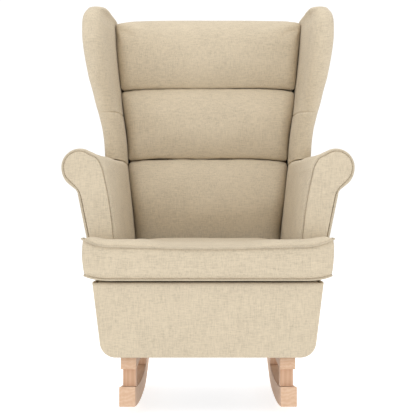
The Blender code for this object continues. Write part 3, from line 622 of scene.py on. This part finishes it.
# For each height of the wing's front edge: how far out it stands, and its depth
WING_LEVELS = (
    (0.622, 0.2775, 0.470), (0.660, 0.278, 0.462), (0.695, 0.2825, 0.452), (0.712, 0.2855, 0.447),
    (0.742, 0.2930, 0.4335), (0.764, 0.2990, 0.422), (0.790, 0.3055, 0.4085), (0.826, 0.3142, 0.390),
    (0.853, 0.3187, 0.379), (0.888, 0.3245, 0.368), (0.916, 0.3285, 0.361), (0.940, 0.3307, 0.358),
    (0.975, 0.3307, 0.362), (0.990, 0.3298, 0.368), (1.003, 0.3265, 0.377), (1.015, 0.3190, 0.393),
)
WING_THICKNESS, WING_TOP_THICKNESS = 0.056, 0.046
WING_REAR_X = 0.274
WING_SEAM, WING_NOSE = 0.7425, 0.085
ARM_FACE_TOP = 0.605
WING_EDGE = spline_through(WING_LEVELS, 8)


def wing_edge(z):
    """The wing's front edge at a height: how far out it stands, and its depth."""
    low, high = next((pair for pair in zip(WING_EDGE, WING_EDGE[1:]) if z <= pair[1][0]), WING_EDGE[-2:])
    part = min(1.0, max(0.0, (z - low[0]) / (high[0] - low[0])))
    return blend(low[1], high[1], part), blend(low[2], high[2], part)


def wing_thickness(z):
    return blend(WING_TOP_THICKNESS, WING_THICKNESS, ease((1.015 - z) / 0.050))


def wing_inner(z, outer, thickness, back):
    """The wing's inner face, from where its nose ends (0) back to the post (1)."""
    inner_rear = 0.2202 + 0.0981 * (z - 0.63)
    inner = blend(outer - thickness, inner_rear, 0.22)
    return blend(inner, inner_rear, back + 0.4 * back * (1 - back))


def side_face(z, depth):
    """How far out the arm's or the wing's inner face stands at a height and a depth."""
    arm = inner_x(min(z, ARM_FACE_TOP), arm_taper(depth))
    if z < ARM_FACE_TOP:
        return arm
    outer, front = wing_edge(z)
    back = (depth - front - WING_NOSE) / (post_front(z) - front - WING_NOSE)
    wing = wing_inner(z, outer, wing_thickness(z), min(1.0, max(0.0, back)))
    return blend(arm, wing, ease((z - ARM_FACE_TOP) / 0.020))


# Seat cushion

EAR_X, EAR_START, EAR_REAR, NECK_X, REAR_X = 0.2945, 0.232, 0.090, 0.2095, 0.1855
CUSHION_FRONT = CUSHION_BOX[0].y + HALF_DEPTH
CUSHION_REAR = 0.520
SEAM_BOTTOM, SEAM_TOP = CUSHION_BOX[0].z + 0.0026, 0.3980
CUSHION_CROWN, EAR_PUFF = 0.0092, 0.0085


def cushion_outline(inset):
    """The cushion from above, as (x, depth): a T with ears in front of the arms and round corners."""
    ear, neck, rear = EAR_X - inset, NECK_X - inset, REAR_X - inset
    front, notch, back = CUSHION_FRONT + inset, EAR_REAR - inset, CUSHION_REAR - inset
    right = [(ear, front, 0.016), (ear, notch, 0.014), (neck, notch, 0.009), (rear, back, 0.022)]
    return fillet(right + [(-x, depth, radius) for x, depth, radius in reversed(right)])


def cushion_settle(point):
    """Where sewing and sitting move a point: the ears turn up, and the middle of the front sinks a little."""
    height = (point.z - SEAM_BOTTOM) / (SEAM_TOP - SEAM_BOTTOM)
    share = min(1.0, max(0.0, height))
    ear = max(0.0, (abs(point.x) - EAR_START) / (EAR_X - EAR_START))
    depth = point.y + HALF_DEPTH
    forward = ease(1 - (depth - 0.02) / 0.30)
    lift = blend(0.0115 * ear**2.2, 0.0185 * ear**1.8, share)
    sag = 0.0045 * math.cos(min(1.0, abs(point.x) / 0.24) * math.pi / 2) ** 1.5 * forward
    flare = math.copysign(0.0030 * ear**3 * share + 0.0020 * ear, point.x)
    return point + Vector((flare, 0, lift - sag * share))


def make_seat_cushion():
    outline = cushion_outline(0.0030)
    shape = bmesh.new()
    bottom = [shape.verts.new(place(x, depth, SEAM_BOTTOM)) for x, depth in outline]
    top = [shape.verts.new(place(x, depth, SEAM_TOP)) for x, depth in outline]
    shape.faces.new(bottom)
    shape.faces.new(top)
    for index in range(len(outline)):
        after = (index + 1) % len(outline)
        shape.faces.new((bottom[index], bottom[after], top[after], top[index]))
    cushion = new_object("seat_cushion", shape)
    remesh = cushion.modifiers.new("remesh", "REMESH")
    remesh.mode = "VOXEL"
    remesh.voxel_size = 0.0056
    graph = bpy.context.evaluated_depsgraph_get()
    cushion.data = bpy.data.meshes.new_from_object(cushion.evaluated_get(graph))
    cushion.modifiers.clear()
    cushion.data.shade_smooth()

    middle = (SEAM_BOTTOM + SEAM_TOP) / 2
    pinned, borders = [], []
    for vertex in cushion.data.vertices:
        border = edge_distance((vertex.co.x, vertex.co.y + HALF_DEPTH), outline)
        borders.append(border)
        seam_gap = min(abs(vertex.co.z - SEAM_TOP), abs(vertex.co.z - SEAM_BOTTOM))
        on_seam = border < 0.004 and seam_gap < 0.004
        if on_seam or vertex.co.z < SEAM_BOTTOM + 0.003:
            pinned.append(vertex.index)
    for vertex, border in zip(cushion.data.vertices, borders):
        if vertex.co.z > SEAM_TOP - 0.003:
            ear = ease((abs(vertex.co.x) - 0.09) / 0.08) * ease((0.19 - vertex.co.y - HALF_DEPTH) / 0.07)
            vertex.co.z += (CUSHION_CROWN + EAR_PUFF * ear) * (1 - math.exp(-border / 0.013))
        elif vertex.co.z > SEAM_BOTTOM + 0.003 and border < 0.006:
            height = (vertex.co.z - SEAM_BOTTOM) / (SEAM_TOP - SEAM_BOTTOM)
            vertex.co += vertex.normal * (0.0040 * math.sin(math.pi * height))
    swell(cushion, pinned, pressure=3.0, cap=0.0032)
    wrinkle(cushion, 0.0016, (9, 9, 9), 5.0, lambda co: ease((co.z - middle) / 0.03))
    for vertex in cushion.data.vertices:
        vertex.co = cushion_settle(vertex.co)
    subdivide(cushion)
    dress(cushion, "loose_cushion", ("seat_cushion_core", "seat_cushion_cover"), "linen")

    for level, height, tuck in (("bottom", SEAM_BOTTOM, 0.0030), ("top", SEAM_TOP, 0.0006)):
        route = evenly(cushion_outline(tuck), 0.006)
        points = [cushion_settle(place(x, depth, height)) for x, depth in route]
        welt = cord_object(f"cushion_welt_{level}", points, CUSHION_WELT)
        dress(welt, "loose_cushion", (f"cushion_piping_{level}",), "piping")


# Back cushions

ROLLS = (
    ("back_cushion_bottom", 0.3300, 0.6234),
    ("back_cushion_middle", 0.6246, 0.8194),
    ("back_cushion_top", 0.8206, 1.0150),
)
ROLL_EDGE, ROLL_CROWN = 0.086, 0.036


def cushion_rear(z):
    return post_front(z) - 0.004


def roll_front(part, fullness):
    """How far a roll's front stands before its back, from its lower crease (0) to its upper one (1)."""
    bulge = (1 - abs(2 * part - 1) ** 2.3) ** 0.5
    return ROLL_EDGE * blend(0.72, 1.0, fullness) + ROLL_CROWN * fullness * bulge


def roll_ring(name, low, high, side_share):
    """One upright slice of a roll, as points up its front, over its top and down its back."""
    close = max(0.0, 1 - abs(side_share))
    reach = side_face((low + high) / 2, POST_FRONT) * close
    fullness = math.sqrt(max(0.0, 1 - (1 - min(reach / 0.034, 1.0)) ** 2)) * 0.62 + 0.38
    is_top, is_bottom = name == "back_cushion_top", name == "back_cushion_bottom"
    dip = 0.0060 * abs(side_share) ** 5
    corner = 0.010
    foot_slope = 0.030 if is_bottom else 0.0
    points = []
    steps = 26
    for step in range(steps + 1):
        part = 0.5 - 0.5 * math.cos(math.pi * step / steps)
        z = blend(low, high, part)
        front = cushion_rear(z) - roll_front(part, fullness) + foot_slope * ease((0.530 - z) / 0.13)
        points.append([z, front])
    if is_top:
        points = [pair for pair in points if pair[0] < high - 0.026]
        z0, front0 = points[-1]
        behind = panel_front(POST_TOP) - 0.0004
        crest = cushion_rear(high) - 0.022
        over = [(z0, front0), (high - 0.0105, front0 + 0.0110), (high - 0.0020, front0 + 0.030)]
        over += [(high, crest), (high - 0.0008, behind - 0.026), (high - 0.0050, behind - 0.008)]
        over += [(high - 0.0140, behind)]
        curve = spline_through(over, 4)[1:]
        points += [list(pair) for pair in curve]
        points += [[POST_TOP + 0.0022, behind], [POST_TOP + 0.0016, cushion_rear(POST_TOP) + 0.001]]
        top_rear = POST_TOP - 0.004
    else:
        top_rear = high
    for step in range(7):
        z = blend(top_rear, low, step / 6)
        points.append([z, cushion_rear(z)])
    ring = []
    for z, depth in points:
        on_deck = is_bottom and z < low + 0.004
        lowered = z - dip * (0.0 if on_deck else 1.0)
        nearest = min(z - low, high - z)
        pull = corner * (1 - math.sqrt(max(0.0, 1 - (1 - min(max(nearest, 0.0) / corner, 1.0)) ** 2)))
        pull *= ease((cushion_rear(z) - depth) / 0.03)
        ring.append(place(side_share * (side_face(z, depth) - CLEAR - pull), depth, lowered))
    return ring


def make_back_cushions():
    columns = 72
    evenly_spread = [blend(-1, 1, column / columns) for column in range(columns + 1)]
    stations = [math.copysign(1 - (1 - abs(share)) ** 1.7, share) for share in evenly_spread]
    for index, (name, low, high) in enumerate(ROLLS):
        rings = [roll_ring(name, low, high, share) for share in stations]
        roll = loft_object(name + "_cover", rings)
        creases = [low] if name == "back_cushion_top" else [low, high]

        def near_crease(co):
            return min(abs(co.z - crease) for crease in creases)

        def front_share(co):
            return ease((cushion_rear(co.z) - 0.045 - (co.y + HALF_DEPTH)) / 0.02)

        pinned = [
            vertex.index
            for vertex in roll.data.vertices
            if near_crease(vertex.co) < 0.006 or front_share(vertex.co) < 0.5
        ]
        swell(roll, pinned, pressure=2.5, cap=0.005)
        wrinkle(roll, 0.0030, (7, 7, 10), 11.0 + index, front_share)
        wrinkle(
            roll, 0.0018, (75, 10, 16), 31.0 + index,
            lambda co: front_share(co) * math.exp(-near_crease(co) / 0.016),
        )
        subdivide(roll)
        dress(roll, "chair", (name,), "linen")


# Arms


def arm_curve(taper):
    """The arm from the front, as (x, z): up its inner face and over the roll to the neck."""
    inner_levels = (0.318, 0.370, 0.420, 0.460, 0.494, 0.523, 0.548, 0.571, 0.590)
    points = [(inner_x(z, taper), z) for z in inner_levels]
    points.append((0.2640 - 0.036 * taper, 0.6140))
    for degrees in (130, 108, 86, 65, 44, 23, 2, -19, -40, -61):
        angle = math.radians(degrees)
        rise = (ROLL_RADIUS if degrees > 0 else ROLL_DROP) * math.sin(angle)
        points.append((ROLL_CENTRE[0] + ROLL_RADIUS * math.cos(angle), ROLL_CENTRE[1] + rise))
    points.append(NECK)
    return spline_through(points, 4)


def board_face(z):
    """How far out the arm's padding reaches on the inner side of its board."""
    return outer_x(z) - COVER - BOARD_THICKNESS - BOARD_GAP


def arm_section(taper):
    """The whole outline of the arm's padding, as (x, z), from the neck back along its board."""
    foot = []
    for part in (0.35, 0.7, 1):
        x = blend(NECK[0], board_face(BOARD_TOP), part)
        foot.append((x, blend(NECK[1], BOARD_TOP + 0.0005, part)))
    for step in range(1, 13):
        z = blend(BOARD_TOP, ARM_BOTTOM, step / 12)
        foot.append((board_face(z), z))
    return arm_curve(taper) + foot


def arm_surface(x, depth):
    """Height of the arm's top at a distance from the middle of the chair and a depth."""
    heights = []
    section = arm_section(arm_taper(depth))
    for (x0, z0), (x1, z1) in zip(section, section[1:]):
        if min(x0, x1) <= x <= max(x0, x1) and x0 != x1:
            heights.append(blend(z0, z1, (x - x0) / (x1 - x0)))
    return max(heights) if heights else ARM_BOTTOM


def scroll_outline():
    """The whole outline of the arm's front, as (x, z), closed down its outer side."""
    outer = [(outer_x(z), z) for z in (0.526, 0.500, 0.460, 0.420, 0.380, 0.345)]
    bottom = FRONT_PANEL_TOP + 0.0016
    foot = [(outer_x(bottom), bottom)]
    corner = (inner_x(ARM_BOTTOM, 0.0), bottom)
    outline = evenly([corner] + arm_curve(0.0) + outer + foot, 0.0050)
    for _ in range(8):
        softer = []
        for before, here, after in zip(outline[-1:] + outline[:-1], outline, outline[1:] + outline[:1]):
            share = 0.5 if here[0] > 0.30 and 0.500 < here[1] < 0.560 else 0.0
            softer.append(tuple(blend(h, (b + a) / 2, share) for b, h, a in zip(before, here, after)))
        outline = softer
    return outline


def make_arm():
    rings = []
    for ahead, inset in ((0.0004, 0.0060), (0.0020, 0.0030), (0.0055, 0.0010), (ARM_LIP, 0.0)):
        section = arm_section(0.0)
        if inset:
            section = inset_outline(section, inset)
        rings.append([place(x, ARM_FRONT + ahead, z) for x, z in section])
    steps = 44
    for step in range(1, steps + 1):
        part = step / steps
        depth = blend(ARM_FRONT + ARM_LIP, TAPER_END, part)
        rings.append([place(x, depth, z) for x, z in arm_section(part)])
    rear = arm_section(1.0)
    for part in (0.33, 0.66, 1.0):
        rings.append([place(x, blend(TAPER_END, post_front(z) - 0.0022, part), z) for x, z in rear])

    def beside_post(x, z):
        return max(x, post_outer(z) + CLEAR)

    for part in (0.02, 0.35, 0.7, 0.92, 1.0):
        slim = 0.004 * ease((part - 0.8) / 0.2)
        ring = []
        for (x, z), (x_in, z_in) in zip(rear, inset_outline(rear, slim) if slim else rear):
            depth = blend(post_front(z) - 0.0018, panel_front(z) - 0.0006, part)
            ring.append(place(beside_post(x_in, z_in), depth, z_in))
        rings.append(ring)
    arm = loft_object("arm_roll_right", rings)

    def loose(co):
        depth = co.y + HALF_DEPTH
        over_board = outer_x(co.z) - co.x <= 0.030 and co.z <= 0.545
        from_front = ease((depth - ARM_FRONT - 0.008) / 0.03)
        from_post = ease((post_front(co.z) - 0.10 - depth) / 0.05)
        return 0.0 if over_board else from_front * from_post

    wrinkle(arm, 0.0026, (10, 8, 8), 3.0, loose)
    wrinkle(arm, 0.0011, (26, 20, 26), 17.0, loose)
    subdivide(arm)
    dress_pair(arm, "arm_roll", node="arm_pad")

    outline = scroll_outline()
    inner = inset_outline(outline, 0.0076)
    low, high = min(z for _, z in inner), max(z for _, z in inner)
    rows = []
    steps = 58
    for step in range(steps + 1):
        part = step / steps
        z = blend(low, high, math.sin(part * math.pi / 2) if part > 0.5 else part * math.sqrt(2))
        z = min(high - 0.0001, max(low + 0.0001, z))
        crossings = sorted(
            blend(a[0], b[0], (z - a[1]) / (b[1] - a[1]))
            for a, b in zip(inner, inner[1:] + inner[:1])
            if (a[1] - z) * (b[1] - z) < 0
        )
        if len(crossings) >= 2:
            rows.append((z, crossings[0], crossings[-1]))
    rows = [row for index, row in enumerate(rows) if index == 0 or row[0] > rows[index - 1][0] + 1e-5]
    panel = panel_object(
        "arm_scroll_right", rows, lambda x, z, proud: place(x, 0.1024 - proud, z),
        thickness=0.0080, crown=0.0030, edge=0.004, columns=20,
    )
    dress_pair(panel, "arm_scroll", node="arm_front_panel")
    route = [place(x, 0.1012, z) for x, z in inset_outline(outline, 0.0047)]
    welt = cord_object("arm_welt_right", route, ARM_WELT)
    dress_pair(welt, "arm_welt", node="arm_piping", material="piping")

    heights = [blend(FRONT_PANEL_TOP + 0.0010, BOARD_TOP, step / 24) for step in range(25)]
    rows = [(z, ARM_FRONT + 0.0004, panel_front(z) - 0.0006) for z in heights]
    cover = panel_object(
        "arm_outside_right", rows, lambda depth, z, proud: place(outer_x(z) - COVER / 2 + proud, depth, z),
        thickness=0.0066, crown=0.0016, edge=0.003, columns=60,
    )
    dress_pair(cover, "arm_outside", node="outside_arm")


# Wings


def wing_ring(z, outer, front, thickness, shrink=0.0):
    """A level slice of the right wing, as (x, depth): inner side, nose, and outer side back to the post."""
    rear = panel_front(z) - CLEAR
    post = post_front(z) - 0.0025
    beside = post_outer(z) + CLEAR
    inner_near, outer_near = front + WING_NOSE, front + 0.038
    inner = wing_inner(z, outer, thickness, 0.0)
    points = []
    for step in range(13):
        back = 1 - step / 13
        points.append((wing_inner(z, outer, thickness, back), blend(inner_near, post, back)))
    middle = (inner + outer) / 2 + 0.004
    for step in range(23):
        angle = math.pi + math.pi * step / 22
        if step < 11:
            half, near, power = middle - inner, inner_near, 0.86
        else:
            half, near, power = outer - middle, outer_near, 1.0
        bend = abs(math.sin(angle)) ** power
        points.append((middle + half * math.cos(angle), near - (near - front) * bend))
    for step in range(1, 19):
        part = step / 18
        bulge = 0.0030 * math.sin(math.pi * part)
        x = blend(outer, WING_REAR_X, part + 0.2 * part * (1 - part)) + bulge
        points.append((x, blend(outer_near, rear - 0.004, part)))
    points += [(WING_REAR_X - 0.0015, rear - 0.0010), (WING_REAR_X - 0.005, rear)]
    points += [((WING_REAR_X + beside) / 2, rear), (beside, rear - 0.0005)]
    points += [(beside, blend(rear, post, 0.5)), (beside, post + 0.001)]
    if shrink:
        centre = (sum(x for x, _ in points) / len(points), sum(d for _, d in points) / len(points))
        points = [(blend(x, centre[0], shrink), blend(d, centre[1], shrink)) for x, d in points]
    return points


def wing_rest(point):
    """Where the foot of the wing lies on the arm below it."""
    depth = point.y + HALF_DEPTH
    if depth >= post_front(point.z):
        return point - Vector((0, 0, 0.002))
    above_arm = arm_surface(point.x, depth) + CLEAR
    return Vector((point.x, point.y, min(point.z - 0.002, above_arm)))


def make_wing():
    heights = [z for z, _, _ in WING_EDGE if abs(z - WING_SEAM) > 0.006]
    heights = sorted(heights + [WING_SEAM + step * 0.0013 for step in range(-4, 5)])
    rings = []
    for height in heights:
        slice_points = wing_ring(height, *wing_edge(height), wing_thickness(height))
        rings.append([place(x, depth, height) for x, depth in slice_points])
    z, outer, front = WING_LEVELS[-1]
    for shrink, rise in ((0.05, 0.0036), (0.12, 0.0064), (0.24, 0.0084), (0.42, 0.0094), (0.66, 0.0098)):
        slice_points = wing_ring(z, outer, front, WING_TOP_THICKNESS, shrink)
        rings.append([place(x, depth, z + rise) for x, depth in slice_points])
    foot = [wing_rest(point) for point in rings[0]]
    between = [low.lerp(high, 0.5) for low, high in zip(foot, rings[0])]
    wing = loft_object("wing_right", [foot, between] + rings, cap_rings=1)

    def loose(co):
        depth = co.y + HALF_DEPTH
        return ease((co.z - 0.615) / 0.03) * ease((post_front(co.z) - 0.10 - depth) / 0.05)

    wrinkle(wing, 0.0026, (9, 9, 7), 23.0, loose)
    wrinkle(wing, 0.0010, (24, 24, 20), 29.0, loose)
    for vertex in wing.data.vertices:
        inner_face = ease((WING_LEVELS[0][1] + 0.012 - vertex.co.x) / 0.012)
        groove = math.exp(-(((vertex.co.z - WING_SEAM) / 0.0019) ** 2))
        vertex.co -= vertex.normal * (0.0026 * groove * inner_face)
    subdivide(wing)
    dress_pair(wing, "wing", node="wing_pad")


# Covers of the seat box and the outside back


def make_front_panel():
    corner = body_corner(CORNER_RADIUS, 14)
    rows = [(z, -x, x) for x, z in corner]
    for step in range(1, 19):
        z = blend(corner[-1][1], FRONT_PANEL_TOP + 0.0018, step / 18)
        rows.append((z, -outer_x(z), outer_x(z)))
    panel = panel_object(
        "front_border", rows, lambda x, z, proud: place(x, 0.0194 - proud, z),
        thickness=0.0102, crown=0.0034, edge=0.006, columns=64,
    )
    subdivide(panel)
    dress(panel, "chair", ("front_panel",), "linen")


def side_profile(inset):
    """The lower corner of the body and its side above, as (x, z), moved in by an inset."""
    points = body_corner(CORNER_RADIUS - inset, 14)
    for step in range(1, 13):
        z = blend(points[-1][1], FRONT_PANEL_TOP, step / 12)
        points.append((outer_x(z) - inset, z))
    return points


def make_side_panels():
    outer, inner = side_profile(0.0), side_profile(COVER)
    front, rear = 0.0262, panel_front(0.140) - CLEAR
    rings = []
    edge = [(0.0, 0.45), (0.0008, 0.2), (0.0025, 0.0)]
    depths = [(front + ahead, slim) for ahead, slim in edge]
    depths += [(blend(front + 0.0025, rear - 0.0025, step / 60), 0.0) for step in range(1, 61)]
    depths += [(rear - ahead, slim) for ahead, slim in reversed(edge[:-1])]
    for depth, slim in depths:
        ring = []
        for start, end in list(zip(outer, inner)) + list(zip(inner, outer))[::-1]:
            ring.append(place(blend(start[0], end[0], slim), depth, blend(start[1], end[1], slim)))
        rings.append(ring)
    panel = loft_object("side_border_right", rings, cap_rings=1)

    def loose(co):
        depth = co.y + HALF_DEPTH
        outside = ease((co.x - (outer_x(co.z) - 0.003)) / 0.002) if co.z > 0.19 else 0.0
        lengthwise = ease((depth - front) / 0.03) * ease((rear - depth) / 0.03)
        return outside * lengthwise * ease((0.3125 - co.z) / 0.02)

    wrinkle(panel, 0.0014, (8, 7, 9), 41.0, loose)
    dress_pair(panel, "side_border", node="side_panel")


def make_outside_back():
    corner = body_corner(CORNER_RADIUS, 10)
    rows = [(z, x) for x, z in corner]
    shoulder_z, top_z = 0.528, 0.925
    levels = (0.215, 0.250, 0.285, BEND_HEIGHT, 0.360, 0.405, 0.450, 0.490, shoulder_z)
    rows += [(z, outer_x(z)) for z in levels]
    shoulder = [(shoulder_z, outer_x(shoulder_z)), (0.566, 0.314), (0.600, 0.298)]
    shoulder += [(0.640, 0.2755), (0.690, WING_REAR_X)]
    rows += spline_through(shoulder, 4)[1:]
    rows += [(z, WING_REAR_X) for z in (0.730, 0.770, 0.810, 0.850, 0.890, top_z)]
    top = [(top_z, WING_REAR_X), (0.960, 0.2700), (0.985, 0.2600), (0.9995, 0.2440)]
    rows += spline_through(top, 4)[1:]
    panel = panel_object(
        "outside_back_cover", [(z, -half, half) for z, half in rows],
        lambda x, z, proud: place(x, panel_front(z) + 0.0030 + proud, z),
        thickness=0.0048, crown=0.0022, edge=0.004, columns=56,
    )
    dress(panel, "chair", ("outside_back",), "linen")


def make_deck():
    """The sewn platform under the cushion, a T with ears in front of the arms."""
    ear_x, deck_x, ear_depth, radius = 0.2630, 0.2300, 0.0938, 0.004
    front, rear = 0.0268, panel_front(0.300) - POST_DEPTH - 0.0018
    right = [(ear_x, front, radius), (ear_x, ear_depth, radius)]
    right += [(deck_x, ear_depth, radius), (deck_x, rear, radius)]
    outline = fillet(right + [(-x, depth, radius) for x, depth, radius in reversed(right)], 3)
    shape = bmesh.new()
    rings = []
    for inset, rise in ((0.003, -0.0074), (0.0, -0.0055), (0.0, -0.002), (0.002, 0.0), (0.0036, 0.0005)):
        rings.append([place(x, depth, DECK_TOP + rise) for x, depth in inset_outline(outline, inset)])
    add_loft(shape, rings, cap_rings=0)
    deck = new_object("deck_cover", shape, smooth=False)
    dress(deck, "chair", ("seat_deck",), "linen")


def make_dust_cover():
    """The lining stapled under the seat box, slack in its middle."""
    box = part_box("dust_cover")
    half, front, rear = box[1].x, box[0].y + HALF_DEPTH, box[1].y + HALF_DEPTH
    shape = bmesh.new()
    columns, rows = 40, 60
    grid = []
    for row in range(rows + 1):
        line = []
        for column in range(columns + 1):
            across, along = column / columns, row / rows
            x, depth = blend(-half, half, across), blend(front, rear, along)
            hollow = 16 * across * (1 - across) * along * (1 - along)
            slack = ease(hollow / 0.5) * ease((0.150 - abs(x)) / 0.03)
            unevenness = 0.7 + 0.5 * noise.noise(Vector((x * 9, depth * 9, 1.0)))
            z = BODY_BOTTOM + 0.0007 - 0.0045 * slack * unevenness
            line.append(shape.verts.new(place(x, depth, z)))
        grid.append(line)
    skin_grid(shape, grid)
    lining = new_object("dust_lining", shape)
    dress(lining, "chair", ("dust_cover",), "underlining")


# Stage


def area_light(name, place_at, look_at, size, power, colour=(1.0, 1.0, 1.0)):
    data = bpy.data.lights.new(name, "AREA")
    data.shape = "RECTANGLE"
    data.size, data.size_y = size
    data.energy = power
    data.color = colour
    lamp = bpy.data.objects.new(name, data)
    lamp.location = place_at
    lamp.rotation_euler = (Vector(look_at) - Vector(place_at)).to_track_quat("-Z", "Y").to_euler()
    bpy.context.scene.collection.objects.link(lamp)


def make_stage():
    shape = bmesh.new()
    reach = 14.0
    sides = ((-1, -1), (1, -1), (1, 1), (-1, 1))
    shape.faces.new([shape.verts.new((x * reach, y * reach, 0.0)) for x, y in sides])
    floor = new_object("floor", shape, smooth=False)
    paint = Finish("floor_paint", roughness=0.6)
    inputs = paint.shader.inputs
    inputs["Base Color"].default_value = (0.42, 0.42, 0.42, 1.0)
    inputs["Emission Color"].default_value = (1.0, 1.0, 1.0, 1.0)
    inputs["Emission Strength"].default_value = 0.80
    floor.data.materials.append(paint.material)

    world = bpy.data.worlds.new("studio")
    world.use_nodes = True
    background = world.node_tree.nodes["Background"].inputs
    background["Color"].default_value = (1.0, 1.0, 1.0, 1.0)
    background["Strength"].default_value = 1.08
    bpy.context.scene.world = world
    area_light("key", (-0.9, -3.0, 3.4), (0.0, 0.0, 0.55), (2.4, 2.0), 16.0, (1.0, 0.99, 0.97))
    area_light("top", (0.0, -0.4, 3.4), (0.0, 0.0, 0.5), (2.6, 2.6), 15.0)
    bpy.context.scene.view_settings.view_transform = "Standard"


def make_camera():
    data = bpy.data.cameras.new("camera")
    data.sensor_width = 36.0
    data.lens = 125.2
    camera = bpy.data.objects.new("camera", data)
    camera.location = (0.0, -HALF_DEPTH - 3.4, 0.489)
    camera.rotation_euler = (math.pi / 2, 0.0, 0.0)
    bpy.context.scene.collection.objects.link(camera)
    bpy.context.scene.camera = camera


make_camera()
make_stage()
finish_nodes()
make_front_panel()
make_side_panels()
make_outside_back()
make_deck()
make_dust_cover()
make_arm()
make_wing()
make_back_cushions()
make_seat_cushion()
